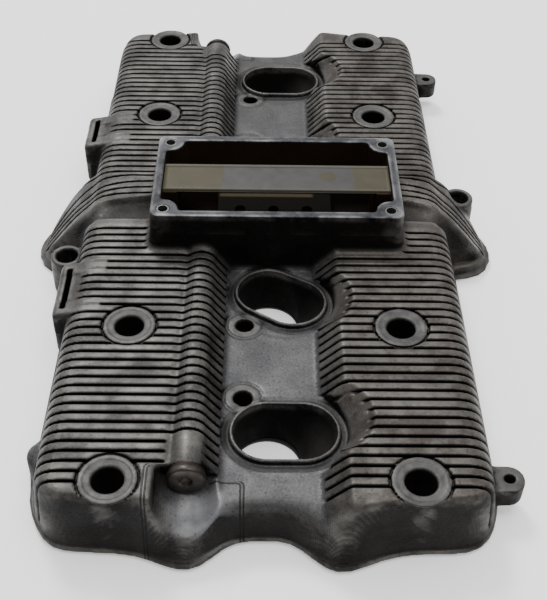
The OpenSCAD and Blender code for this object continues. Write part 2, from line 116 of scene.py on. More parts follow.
def soften(field, radius, steps):
    """Rounds the corners of a 2D field by a Gaussian of that radius in samples along each axis."""
    for axis, sigma in ((0, radius / steps[0]), (1, radius / steps[1])):
        half = int(3 * sigma) + 1
        kernel = np.exp(-0.5 * (np.arange(-half, half + 1) / sigma) ** 2)
        kernel /= kernel.sum()
        padded = np.pad(field, [(half, half) if a == axis else (0, 0) for a in (0, 1)], mode="edge")
        total = 0.0
        for i, weight in enumerate(kernel):
            cut = [slice(None)] * 2
            cut[axis] = slice(i, i + field.shape[axis])
            total = total + weight * padded[tuple(cut)]
        field = total
    return field.astype(np.float32)


def disc(x, y, cx, cy, r):
    return np.sqrt((x - cx) ** 2 + (y - cy) ** 2) - r


def pill(x, y, a, b):
    """Distance to the shape round two circles (x, y, r)."""
    ex, ey = b[0] - a[0], b[1] - a[1]
    t = np.clip(((x - a[0]) * ex + (y - a[1]) * ey) / (ex * ex + ey * ey), 0.0, 1.0)
    return np.sqrt((x - a[0] - ex * t) ** 2 + (y - a[1] - ey * t) ** 2) - (a[2] + (b[2] - a[2]) * t)


def block(x, y, z, lo, hi, r=0.0):
    """Distance to a box with rounded edges."""
    q = [np.maximum(lo[i] + r - v, v - hi[i] + r) for i, v in enumerate((x, y, z))]
    out = np.sqrt(sum(np.maximum(v, 0.0) ** 2 for v in q))
    return out + np.minimum(np.maximum(np.maximum(q[0], q[1]), q[2]), 0.0) - r


def post(x, y, z, cx, cy, r, z0, z1, edge=0.8):
    """Distance to an upright cylinder with a rounded rim."""
    a = disc(x, y, cx, cy, r)
    b = np.maximum(z0 - z, z - z1)
    return smax(a, b, edge) if edge else np.maximum(a, b)


class Grid:
    """A regular block of samples and the places where shapes are blended into it."""

    def __init__(self, lo, hi, step):
        self.step = step
        self.axes = [np.arange(lo[i], hi[i] + step[i], step[i], dtype=np.float32) for i in range(3)]
        self.x = self.axes[0][:, None, None]
        self.y = self.axes[1][None, :, None]
        self.z = self.axes[2][None, None, :]
        self.shape = tuple(len(a) for a in self.axes)

    def near(self, lo, hi):
        cut = tuple(
            slice(max(0, int(np.searchsorted(a, l)) - 1), int(np.searchsorted(a, h)) + 1)
            for a, l, h in zip(self.axes, lo, hi)
        )
        return cut, (self.x[cut[0]], self.y[:, cut[1]], self.z[:, :, cut[2]])

    def add(self, field, lo, hi, shape, k):
        cut, xyz = self.near(lo, hi)
        field[cut] = smin(field[cut], shape(*xyz), k) if k else np.minimum(field[cut], shape(*xyz))

    def cut(self, field, lo, hi, shape, k):
        cut, xyz = self.near(lo, hi)
        field[cut] = smax(field[cut], -shape(*xyz), k) if k else np.maximum(field[cut], -shape(*xyz))


# ---------------------------------------------------------------- outlines of the casting
def mirrored_rear(points):
    return [(x, -y) for x, y in reversed(points)]


WING = [(104.5, -17), (108, -16.1), (112, -14.8), (118, -12), (122.6, -7.8), (125.4, -2.8), (126.2, 3),
        (125.7, 9), (123.6, 15), (120.4, 20.5), (116, 26), (110.6, 31), (104.5, 35.5)]
FOOT_END = [(-104.3, -158), (-103.2, -166.5), (-101, -173.2), (-98, -179.4), (-94.4, -184.9),
            (-89.8, -188.6), (-84, -190.4), (-75, -191), (-63, -191.6), (-55, -192.7), (-48, -194.9),
            (-42, -197.3), (-37, -198.8), (-32, -199.1), (-27, -197.3), (-22, -193.4), (-17, -189),
            (-12, -186.4), (-6, -185.2), (6, -185.2), (11, -186.4), (16, -189.5), (21, -193.9),
            (26, -197.9), (31, -199.8), (37, -199.3), (43, -197.2), (50, -194.4), (57, -192.4),
            (65, -191.2), (80, -190.8), (87, -190), (92.6, -187.7), (96.8, -183.8), (99.8, -178.4),
            (102, -171.8), (103.8, -164.5), (104.4, -157)]
TOP_END = [(-104.3, -157), (-103.0, -165.5), (-100.4, -172.4), (-97.2, -178.4), (-93.4, -183.6),
           (-88.8, -187), (-84, -188.4), (-70, -189.2), (-58, -190), (-48, -191.4), (-40, -192),
           (-31, -191.4), (-24, -189), (-18, -186.4), (-12, -184.8), (-6, -184.2), (6, -184.2),
           (12, -185), (18, -187.6), (24, -191), (30, -193.6), (36, -194.2), (44, -193), (52, -191.4),
           (62, -190.2), (80, -189.4), (87, -188.4), (92.4, -186), (96.6, -182), (99.6, -176.8),
           (101.8, -170.4), (103.7, -163.5), (104.4, -156)]


def outline(end):
    left = [(-x, y) for x, y in reversed(WING)]
    return end + WING + mirrored_rear(end) + left


def section():
    """Cross-section over both towers and the valley, seen along the camshafts."""
    tube = [(TUBE[0] + TUBE_R * math.cos(a), TUBE[1] + TUBE_R * math.sin(a))
            for a in (math.radians(d) for d in range(142, 10, -12))]
    side = [(105.6, -4), (102.9, 5), (96.8, T - 9), (95.6, T - 5.6), (93.2, T - 2.6),
            (89.8, T - 0.8), (85, T)]
    left = [(-x, z) for x, z in side]
    return left + [(-42.2, T)] + tube + [(-18.4, V), (24, V), (35.5, T)] + side[::-1]


WING_SECTION = [(40, -4), (40, T - 0.4), (80, T - 0.4), (88, T - 1.6), (96, T - 5), (103.5, T - 10),
                (110.5, T - 16.5), (116.5, T - 23.5), (121, 8.5), (124.6, 4), (127, 0), (128, -4)]
ROOF = [(-98, -2), (-97.4, 8), (-90.6, T - 12), (-87, T - 7.4), (-82, T - 6.4), (-45, T - 6.4),
        (-42.6, T - 11), (-38, T - 15.6), (-31, T - 17), (28.4, T - 17), (38.6, T - 6.4),
        (82, T - 6.4), (87, T - 7.4), (90.6, T - 12), (97.4, 8), (98, -2)]


# seen from above, for either wing: the crest, the crease at the foot of its flank, four grooves
CREST = ((56, 9.0), (66, 8.4), (75, 6.8), (84, 4.8), (90, 3.0), (96, 0.7), (100, -1.2), (104, -3.2),
         (108, -5.0), (112, -6.3), (116, -6.4), (120, -5.0), (126, -1.0))
CREASE = ((96, -12.6), (104.5, -11.7), (108.7, -10.9), (112.8, -9.2), (117.6, -6.8), (121.4, -3.4),
          (126, 1))
WING_GROOVES = (
    ((66, 27.3), (75, 27.5), (84, 26.4), (92, 24.8), (100, 22.4), (106, 18.8), (112, 14.8),
     (117, 11), (122, 8.6)),
    ((66, 22.0), (75, 21.4), (84, 19.4), (92, 17.2), (99, 14.6), (106, 11.6), (112, 8.9),
     (118, 6.4), (123, 5)),
    ((66, 16.8), (75, 16.2), (84, 14.6), (92, 12.4), (98, 10.0), (105, 6.8), (111, 4),
     (117, 2.2), (123, 1.8)),
    ((66, 11.6), (75, 11.0), (84, 9.9), (92, 8.1), (98, 5.9), (104, 2.3), (110, -0.8),
     (115, -2.2), (122, -1.6)),
)


def curve(knots, x):
    """A smooth line through the (x, y) knots."""
    dense = np.arange(40.0, 140.0, 0.5)
    line = np.interp(dense, *zip(*knots))
    line = np.convolve(np.pad(line, 5, mode="edge"), np.ones(11) / 11.0, mode="valid")
    return np.interp(x, dense, line).astype(np.float32)


def straight_grooves(y, left):
    """Distance to the nearest straight groove of that tower, along Y only."""
    near, far = ((-18.8, 31), (176.8, 28)) if left else ((-20.335, 31), (176.0, 28))
    best = None
    for start, last in (near, far):
        n = np.clip(np.round((start - y) / PITCH), 0, last)
        d = np.abs(y - (start - PITCH * n)) - GROOVE / 2
        best = d if best is None else np.minimum(best, d)
    return best


def wing_grooves(x, y):
    """Distance, seen from above, to the four curved grooves that run out from the breather box."""
    ax = np.abs(x)
    best = None
    for knots in WING_GROOVES:
        slope = (curve(knots, ax + 1.0) - curve(knots, ax - 1.0)) / 2.0
        d = np.abs(y - curve(knots, ax)) / np.sqrt(1.0 + slope * slope) - GROOVE / 2
        best = d if best is None else np.minimum(best, d)
    return best


def wing_floor(ax, y):
    """Height of the scoop between the wing's crest and the near fins."""
    crest, crease = curve(CREST, ax), curve(CREASE, ax)
    middle, half = (crest - 10.9) / 2.0, (crest + 10.9) / 2.0
    trough = T + 0.32 * half - np.sqrt(np.maximum((1.05 * half) ** 2 - (y - middle) ** 2, 0.0))
    dome = np.interp(ax, *zip(*WING_SECTION[1:])).astype(np.float32)
    t = np.clip((y - crease) / np.maximum(crest - crease, 1.5), 0.0, 3.0)
    flank = 8.5 + np.maximum(dome - 8.5, 1.0) * t ** 1.2
    out = ease(ax, 88, 102)
    return trough + (flank - trough) * out


def casting_fields(g):
    x, y, z = g.x, g.y, g.z
    xz = (g.axes[0][:, None], g.axes[2][None, :])
    xy = (g.axes[0][:, None], g.axes[1][None, :])
    flat = (g.step[0], g.step[1])
    tall = (g.step[0], g.step[2])
    foot = polygon_distance(*xy, outline(FOOT_END))
    top = polygon_distance(*xy, outline(TOP_END))
    foot_soft = soften(foot, 1.6, flat)[:, :, None]
    top_soft = soften(top, 1.6, flat)[:, :, None]
    sec = soften(polygon_distance(*xz, section()), 0.9, tall)[:, None, :]

    # towers and valley, with drafted end walls and a broad round-over at the valley's ends
    up = np.clip((z - 4.0) / (T - 4.0), 0.0, 1.0) ** 0.8
    wall = foot_soft + 0.5 + 1.1 * up + (top_soft - foot_soft) * up
    across = ease(g.x, -22, -14) * (1 - ease(g.x, 24, 40))
    body = smax(np.broadcast_to(sec, g.shape), wall, 3.4 + 5.6 * across)
    for s in (-1, 1):
        # wide scoop in front of each gallery plug, falling away to the end wall
        def bowl(x, y, z, s=s):
            run, drop = s * y - 172.6, z - (T + 1.6)
            along = run * BOWL_TILT[0] - drop * BOWL_TILT[1]
            off = run * BOWL_TILT[1] + drop * BOWL_TILT[0]
            return smax(np.sqrt((x - BOWL_X) ** 2 + off ** 2) - BOWL_R, -along, 3.0)
        g.cut(body, (-60, s * 190 - 26, 0), (0, s * 190 + 26, RIM), bowl, 2.0)

    # the scoop of each wing opens the tower's shoulder and hollows the dome's near flank
    wing_sec = soften(polygon_distance(np.abs(xz[0]), xz[1], WING_SECTION), 1.8, tall)
    wing = g.near((-130, -26, -2), (130, 46, RIM))
    wx, wy, wz = wing[1]
    dome = np.broadcast_to(wing_sec[:, None, :], g.shape)[wing[0]]
    dome = smax(dome, foot_soft[:, wing[0][1]] + 0.6, 6.0)
    dome = smax(dome, smax(-19.0 - wy, wy - 37.0, 1.0) + 0 * wx, 6.0)
    for s, start in ((-1, 56), (1, 67)):
        def shoulder(x, y, z, s=s):
            return smax((wing_floor(s * x, y) - z) * 0.8, -11.9 - y, 1.5)
        g.cut(body, (min(s * start, s * 112), -13, 4), (max(s * start, s * 112), 14, RIM), shoulder, 2.2)
    beside = np.where(wx < 0, -wx > 55, wx > 66)
    scooped = smax(dome, -np.where(beside, (wing_floor(np.abs(wx), wy) - wz) * 0.6, 50.0), 2.2)
    body[wing[0]] = smin(body[wing[0]], scooped, 1.6)

    before = body.copy()

    # cooling fins
    valley_stop = V + 0.5 - z
    outer_stop = (9.0 - z) * 0.7
    plain_tube = ease(-y, 156, 158) + ease(y, 156, 158)
    on_tube = ease(x, -43, -41) * (1 - ease(x, -26.5, -24.5))
    depth = DEEP * (1 - 0.38 * on_tube) * (1 - on_tube * plain_tube)
    lane = np.broadcast_to(straight_grooves(y, True), (1, g.shape[1], 1))
    fin = np.maximum(lane, np.maximum(x + 18.9, np.where(x > -60, valley_stop, outer_stop)))
    fin = np.maximum(fin, np.minimum(np.abs(y) - 173.0, x + 76.0))
    lane = np.broadcast_to(straight_grooves(y, False), (1, g.shape[1], 1))
    right = np.maximum(lane, np.maximum(24.4 - x, np.where(x < 60, valley_stop, outer_stop)))
    fin = np.minimum(fin, right)
    body = smax(body, -smax(fin, -(before + depth), 0.35), 0.45)
    cut = g.near((-130, -19, 4), (130, 33, RIM))[0]
    cx, cy, cz = g.x[cut[0]], g.y[:, cut[1]], g.z[:, :, cut[2]]
    arcs = np.maximum(wing_grooves(cx, cy), np.maximum(56.0 - np.abs(cx), 5.5 - cz))
    body[cut] = smax(body[cut], -smax(arcs, -(before[cut] + 2.6), 0.35), 0.5)

    # flat collars and scallops beside the wells
    for s in (-1, 1):
        for cx, cy, r, sx, sy, r0 in ((9.7, 146, 26.6, 26.4, 144, 9.6), (9.7, 64.5, 23, 17.5, 68, 13.2)):
            def collar(x, y, z, a=(cx, s * cy, r)):
                return smax(disc(x, y, *a), V - z, 2.0)

            def scallop(x, y, z, a=(sx, s * sy, r0)):
                return smax((disc(x, y, *a) - (z - V)) * 0.72, V - z, 1.6)
            lo, hi = (-22, s * cy - 34, V - 4), (54, s * cy + 34, RIM)
            for field in (body, before):
                g.cut(field, lo, hi, collar, 0.8)
                g.cut(field, lo, hi, scallop, 0.7)

    # ears, lug and union blocks on the flanks
    for s in (-1, 1):
        def ear(x, y, z, s=s):
            tab = pill(x, y, (94, s * EAR[1], 7.2), (EAR[0], s * EAR[1], 6.8))
            return smax(tab, np.maximum(T - 30.0 - z, z - (T - 19.0)), 1.0)
        g.add(body, (90, s * EAR[1] - 14, 0), (118, s * EAR[1] + 14, T), ear, 1.6)
    for uy, half, outer, _ in UNIONS:
        def union(x, y, z, uy=uy, half=half, outer=outer):
            return block(x, y, z, (outer, uy - half, 7.0), (-89, uy + half, T - 3.6), 3.0)
        g.add(body, (outer - 4, uy - half - 4, 0), (-84, uy + half + 4, T), union, 2.5)
        for wy0 in (uy - half + 4.5, uy + half - 4.0):
            def web(x, y, z, wy0=wy0):
                slope = z - (T - 0.6) + np.maximum(-88.0 - x, 0.0) * 0.22
                plan = np.maximum(np.maximum(outer + 1.0 - x, x + 80.0), np.abs(y - wy0) - 4.2)
                return smax(plan, slope, 1.5)
            g.add(body, (outer - 2, wy0 - 8, T - 16), (-78, wy0 + 8, RIM), web, 1.6)
    g.add(body, (-110, -166, -2), (-88, -138, T), lambda x, y, z: smax(
        disc(x, y, -98.4, -152, 6.6), z - (T - 17.0), 5.0), 3.0)

    # seats of the cover bolts, sunk just under the fin tops
    for bx in (-BOLT_X, BOLT_X):
        for by in BOLT_Y:
            lo, hi = (bx - 16, by - 16, T - 12), (bx + 16, by + 16, RIM)
            g.cut(body, lo, hi, lambda x, y, z: post(
                x, y, z, bx, by, SEAT_R + 1.0, SEAT_Z - 1.6, RIM, 0), 0.5)
            g.add(body, lo, hi, lambda x, y, z: smax(
                disc(x, y, bx, by, SEAT_R) + 0.9 * np.maximum(SEAT_Z - 1.2 - z, 0.0), z - SEAT_Z, 0.5), 0)
            g.cut(body, lo, hi, lambda x, y, z: post(x, y, z, bx, by, 10.2, SEAT_Z - 0.45, RIM, 0), 0)
    # seats of the small screws, and lips of the wells
    for mx, my in MID:
        lo, hi = (mx - 13, my - 13, V - 5), (mx + 13, my + 13, V + 5)
        g.cut(body, lo, hi, lambda x, y, z: post(x, y, z, mx, my, 9.6, V - 0.5, RIM, 0), 0.8)
        g.add(body, lo, hi, lambda x, y, z: post(x, y, z, mx, my, 8.3, V - 5, V + 0.1, 0.5), 0)
    for a, b, _ in WELLS:
        lo = (-20, min(a[1], b[1]) - 22, V - 6)
        hi = (38, max(a[1], b[1]) + 22, V + 8)
        g.cut(body, lo, hi, lambda x, y, z: smax(pill(x, y, a, b) - 5.0, V - 0.7 - z, 1.0), 1.6)
        g.add(body, lo, hi, lambda x, y, z: smax(pill(x, y, a, b) - 1.9, z - (V + 2.0), 1.2), 1.0)

    # wing bolt bosses
    for bx, by in WING_BOLTS:
        lo, hi = (bx - 18, by - 16, -2), (bx + 18, by + 16, T)

        def boss(x, y, z, bx=bx, by=by):
            neck = pill(x, y, (bx, by, 8.3), (bx - math.copysign(9, bx), by, 8.3))
            low = smax(neck, z - (T - 20), 2.0)
            return smin(low, smax(disc(x, y, bx, by, 8.5), z - (T - 14), 0.8), 2.0)
        g.add(body, lo, hi, boss, 2.2)

    # breather box
    hx, hy = (BOX[1] - BOX[0]) / 2, BOX[2]
    mid_x = (BOX[1] + BOX[0]) / 2

    def walls(x, y, z):
        flare = 0.9 * (1 - ease(z, T + 2, RIM - 3))
        q = block(x - mid_x, y, 0 * z, (-hx, -hy, -99), (hx, hy, 99), 4.2) - flare
        return smax(q, np.maximum(z - RIM, V - 6 - z), 0.5)
    g.add(body, (BOX[0] - 14, -hy - 14, V - 8), (BOX[1] + 14, hy + 14, RIM + 2), walls, 4.5)

    # flange and the hollow underneath
    body = smin(body, smax(foot[:, :, None] + 0 * z, z - FLANGE, 0.8), 1.8)
    body = np.maximum(body, RUBBER - z)
    keep = foot.copy()
    for bx, by in WING_BOLTS:
        keep = np.maximum(keep, 6.8 - disc(xy[0], xy[1], bx, by, 0.0))
    roof = soften(polygon_distance(*xz, ROOF), 1.2, tall)[:, None, :]
    hollow = smax(np.broadcast_to(roof, g.shape), keep[:, :, None] + 6.4 + 3.0 * up, 4.0)
    wing_room = g.near((-130, -12, -2), (130, 30, RIM))
    rx, ry = wing_room[1][:2]
    room = wing_sec[:, None, :][:, :, wing_room[0][2]] + 9.0
    room = smax(room, keep[:, wing_room[0][1]][:, :, None] + 6.4, 4.0)
    room = smax(room, np.maximum(-10.0 - ry, ry - 28.0) + 0 * rx, 3.0)
    room = smax(room, np.where(np.abs(rx) < 60, 5.0, -5.0) + 0 * ry, 3.0)
    hollow[wing_room[0]] = smin(hollow[wing_room[0]], room, 3.0)
    # walls at least four millimetres thick under every outer surface
    hollow = smax(hollow, before + 3.4, 2.0)
    for bx in (-BOLT_X, BOLT_X):
        for by in BOLT_Y:
            g.cut(hollow, (bx - 15, by - 15, 8), (bx + 15, by + 15, T), lambda x, y, z: post(
                x, y, z, bx, by, 10.5, 14, T, 1.0), 2.5)
    for mx, my in MID:
        g.cut(hollow, (mx - 14, my - 14, -2), (mx + 14, my + 14, V), lambda x, y, z: post(
            x, y, z, mx, my, 8.8, -5, T, 0), 2.5)
    for a, b, c in WELLS:
        lo = (-24, min(a[1], b[1]) - 26, -2)
        hi = (42, max(a[1], b[1]) + 26, V)
        g.cut(hollow, lo, hi, lambda x, y, z: well_room(x, y, z, a, b, c) - 4.2, 2.5)
    for by in (-168, -101, 101, 168):
        g.cut(hollow, (-26, by - 6, 10), (34, by + 6, V), lambda x, y, z: block(
            x, y, z, (-22, by - 2, 14), (30, by + 2, T), 1.0), 2.0)
    for s in (-22, 22):
        g.cut(hollow, (-6, s - 10, 8), (18, s + 10, T), lambda x, y, z: post(
            x, y, z, 5.5, s, 7.0, T - 27, T, 0), 2.0)
    chamber_base = block(x, y, z, (BOX[0] + 1, -34, T - 15), (BOX[1] - 1, 34, T - 9), 0.5)
    hollow = smax(hollow, -chamber_base, 2.0)
    body = smax(body, -hollow, 0.8)

    # breather chamber
    def chamber(x, y, z):
        lo, hi = (BOX[0] + BOX_WALL, BOX_WALL - BOX[2], -99), (BOX[1] - BOX_WALL, BOX[2] - BOX_WALL, 99)
        q = block(x, y, 0 * z, lo, hi, 3.0)
        for sx, sy in SCREWS:
            q = smax(q, -disc(x, y, sx, sy, 7.4), 2.5)
        ledge = np.maximum(np.abs(y) - 11.6, hx - BOX_WALL - 8.0 - np.abs(x - mid_x))
        q = np.maximum(q, -np.maximum(ledge, z - (T + 18.5)))
        return smax(q, CHAMBER_FLOOR - z, 1.5)
    g.cut(body, (BOX[0], -35, T - 12), (BOX[1], 35, RIM + 2), chamber, 0.5)
    g.cut(body, (-26, -18, 0), (36, 18, T), lambda x, y, z: block(
        x, y, z, (-22, -14, -5), (31, 14, T), 2.0), 0.6)

    # every bored hole
    for bx in (-BOLT_X, BOLT_X):
        for by in BOLT_Y:
            def bore(x, y, z, bx=bx, by=by):
                d = disc(x, y, bx, by, BOLT_R)
                return np.minimum(d, d - 0.9 + (SEAT_Z - z))
            g.cut(body, (bx - 9.5, by - 9.5, -2), (bx + 9.5, by + 9.5, RIM), bore, 0)
    holes = [(mx, my, 4.4, -2, V + 4) for mx, my in MID]
    holes += [(bx, by, 5.7, -2, T) for bx, by in WING_BOLTS]
    holes += [(EAR[0], s * EAR[1], 2.5, -2, T) for s in (-1, 1)]
    holes += [(sx, sy, 3.15, RIM - 16, RIM + 3) for sx, sy in SCREWS]
    holes += [(5.5, s, 2.6, -2, T - 17) for s in (-22, 22)]
    holes += [(sx, 0.0, 1.7, T + 8, T + 19.5) for sx in (BOX[0] + 8.6, BOX[1] - 8.6)]
    for hx_, hy_, r, z0, z1 in holes:
        lo, hi = (hx_ - r - 2, hy_ - r - 2, z0), (hx_ + r + 2, hy_ + r + 2, z1)
        g.cut(body, lo, hi, lambda x, y, z: np.maximum(
            disc(x, y, hx_, hy_, r), np.maximum(z0 - z, z - z1)), 0)
    for a, b, c in WELLS:
        lo = (-20, min(a[1], b[1]) - 20, -2)
        hi = (38, max(a[1], b[1]) + 20, V + 6)
        g.cut(body, lo, hi, lambda x, y, z: well_room(x, y, z, a, b, c), 0.6)
    for uy, half, outer, slot in UNIONS:
        g.cut(body, (outer - 2, uy - 7, 8), (-90, uy + 7, 24), lambda x, y, z: np.maximum(
            disc(y, z, uy, 16.0, 5.0), x + 92.0), 0)
        g.cut(body, (slot - 5, uy - half, 8), (slot + 5, uy + half, T), lambda x, y, z: smax(
            np.abs(x - slot) - 1.2, np.maximum(T - 15.0 - z, np.abs(y - uy) - half + 4.0), 0.6), 0.4)
    for s in (-1, 1):
        lo, hi = (-40, min(s * 174, s * 158), T - 14), (-26, max(s * 174, s * 158), T + 4)
        g.cut(body, lo, hi, lambda x, y, z: disc(x, z, TUBE[0], TUBE[1], TUBE_BORE), 0)
    return body, before, hollow


def well_room(x, y, z, a, b, c):
    """The inside of a plug well: a round foot that opens into the long mouth."""
    t = ease(z, 1.0, V + 1.0)
    mouth = pill(x, y, a, b)
    foot = disc(x, y, *c)
    return foot + (mouth - foot) * t


# ---------------------------------------------------------------- field to mesh
def surface_net(field, g):
    """Vertices and quads of the field's zero surface, with the cell that each vertex is in."""
    solid = field < 0
    some, full = solid, solid
    for axis in range(3):
        lo = tuple(slice(None, -1) if a == axis else slice(None) for a in range(3))
        hi = tuple(slice(1, None) if a == axis else slice(None) for a in range(3))
        some = some[lo] | some[hi]
        full = full[lo] & full[hi]
    cells = np.argwhere(some & ~full).astype(np.int32)
    i, j, k = cells.T
    corner = {(a, b, c): field[i + a, j + b, k + c] for a in (0, 1) for b in (0, 1) for c in (0, 1)}
    total = np.zeros((len(cells), 3), np.float32)
    count = np.zeros(len(cells), np.float32)
    for p in corner:
        for axis in range(3):
            if p[axis]:
                continue
            q = tuple(1 if a == axis else p[a] for a in range(3))
            fa, fb = corner[p], corner[q]
            hit = (fa < 0) != (fb < 0)
            t = np.where(hit, fa / np.where(fa == fb, 1, fa - fb), 0)
            point = np.array(p, np.float32)[None, :] + np.zeros((len(cells), 1), np.float32)
            point[:, axis] += t
            total += point * hit[:, None]
            count += hit
    place = cells + total / np.maximum(count, 1)[:, None]
    start = np.array([a[0] for a in g.axes], np.float32)
    verts = start + place * np.array(g.step, np.float32)
    number = np.full([n - 1 for n in field.shape], -1, np.int32)
    number[i, j, k] = np.arange(len(cells), dtype=np.int32)
    quads = []
    for axis in range(3):
        u, v = [(1, 2), (2, 0), (0, 1)][axis]
        lo, hi = [slice(1, -1)] * 3, [slice(1, -1)] * 3
        lo[axis], hi[axis] = slice(None, -1), slice(1, None)
        a, b = solid[tuple(lo)], solid[tuple(hi)]
        edge = np.argwhere(a != b)
        out = a[tuple(edge.T)]
        edge = edge + np.array([0 if n == axis else 1 for n in range(3)])
        ring = []
        for du, dv in ((0, 0), (-1, 0), (-1, -1), (0, -1)):
            p = edge.copy()
            p[:, u] += du
            p[:, v] += dv
            ring.append(number[tuple(p.T)])
        ring = np.stack(ring, 1)
        ring[~out] = ring[~out][:, ::-1]
        quads.append(ring)
    return verts, np.concatenate(quads), cells


def sample(field, cells):
    """Mean of the field over the corners of each cell."""
    i, j, k = cells.T
    total = 0.0
    for a in (0, 1):
        for b in (0, 1):
            for c in (0, 1):
                total = total + field[i + a, j + b, k + c]
    return total / 8.0


def slopes(field, cells, step):
    """Unit gradient of the field in each cell, which points out of the surface."""
    i, j, k = cells.T
    total = np.zeros((len(cells), 3), np.float32)
    for a in (0, 1):
        for b in (0, 1):
            total[:, 0] += field[i + 1, j + a, k + b] - field[i, j + a, k + b]
            total[:, 1] += field[i + a, j + 1, k + b] - field[i + a, j, k + b]
            total[:, 2] += field[i + a, j + b, k + 1] - field[i + a, j + b, k]
    total /= np.array(step, np.float32)
    return total / np.maximum(np.linalg.norm(total, axis=1), 1e-6)[:, None]


def box_blur(field, widths):
    out = field
    for axis, n in enumerate(widths):
        run = np.cumsum(out, axis=axis, dtype=np.float64)
        size = out.shape[axis]
        hi = np.clip(np.arange(size) + n, 0, size - 1)
        lo = np.clip(np.arange(size) - n - 1, 0, size - 1)
        out = ((np.take(run, hi, axis) - np.take(run, lo, axis)) / (2 * n + 1)).astype(np.float32)
    return out


def linked(name, data):
    """A scene object for that mesh, light or camera."""
    obj = bpy.data.objects.new(name, data)
    bpy.context.scene.collection.objects.link(obj)
    return obj


def mesh_object(name, verts, faces):
    mesh = bpy.data.meshes.new(name)
    faces = np.asarray(faces, np.int32)
    n, sides = faces.shape
    mesh.vertices.add(len(verts))
    mesh.vertices.foreach_set("co", (np.asarray(verts, np.float64) * MM).astype(np.float32).ravel())
    mesh.loops.add(n * sides)
    mesh.loops.foreach_set("vertex_index", faces.ravel())
    mesh.polygons.add(n)
    mesh.polygons.foreach_set("loop_start", np.arange(0, n * sides, sides, dtype=np.int32))
    mesh.update(calc_edges=True)
    mesh.validate()
    mesh.shade_smooth()
    return linked(name, mesh)


def paint(obj, name, values):
    layer = obj.data.attributes.new(name, "FLOAT", "POINT")
    layer.data.foreach_set("value", np.asarray(values, np.float32))


# ---------------------------------------------------------------- the casting as a mesh
def cast_body():
    g = Grid((-128.5, -201.2, RUBBER - 1.6), (128.5, 201.2, RIM + 1.4), (0.9, PITCH / 9, 0.78))
    body, before, hollow = casting_fields(g)
    verts, quads, cells = surface_net(body, g)
    verts[:, 2] = np.clip(verts[:, 2], RUBBER, RIM)
    obj = mesh_object("cover_casting_body", verts, quads)
    if len(obj.data.vertices) == len(verts):
        obj.data.normals_split_custom_set_from_vertices(slopes(body, cells, g.step))
    x, y, z = verts.T
    # grime with painted shade: the deeper a point lies in a groove, the darker
    dirt_and_shade = np.clip(-sample(before, cells) / DEEP, 0, 1)
    inside = np.clip(1.2 - np.abs(sample(hollow, cells)) * 0.8, 0, 1)
    inside *= z < T - 3
    ax = np.abs(x)
    below = np.interp(ax, *zip(*WING_SECTION[1:])) - z
    # painted shade with baked oil in the scoop of each wing
    scoop = ease(below, 1.0, 5.0) * ease(np.where(x < 0, ax + 11, ax), 67, 70)
    scoop = scoop * (y > -12.5) * (y < curve(CREST, ax) + 3.0) * (z > 8)
    dirt_and_shade = np.maximum(dirt_and_shade, 0.52 * scoop * (1 - 0.55 * ease(ax, 94, 104)))
    bend = sample(box_blur(body, (3, 5, 4)) - body, cells)
    seat = np.zeros(len(verts), bool)
    for bx in (-BOLT_X, BOLT_X):
        for by in BOLT_Y:
            r = np.hypot(x - bx, y - by)
            seat |= (r < SEAT_R - 0.1) & (z > SEAT_Z - 1.6) & (z < SEAT_Z + 0.4)
    for bx, by in WING_BOLTS:
        seat |= (np.hypot(x - bx, y - by) < 8.3) & (z > T - 15.2)
    for s in (-1, 1):
        seat |= (np.hypot(x - EAR[0], y - s * EAR[1]) < 6.6) & (z > T - 20.0)
    for mx, my in MID:
        seat |= (np.hypot(x - mx, y - my) < 8.0) & (z > V - 1.0)
    rim = z > RIM - 0.5
    foot = z < RUBBER + 0.3
    paint(obj, "dirt_and_shade", dirt_and_shade * (1 - inside))
    paint(obj, "inside", inside)
    paint(obj, "edge", np.clip(bend * 1.2, -1, 1))
    paint(obj, "seat", seat | foot)
    paint(obj, "rim", rim)
    return obj


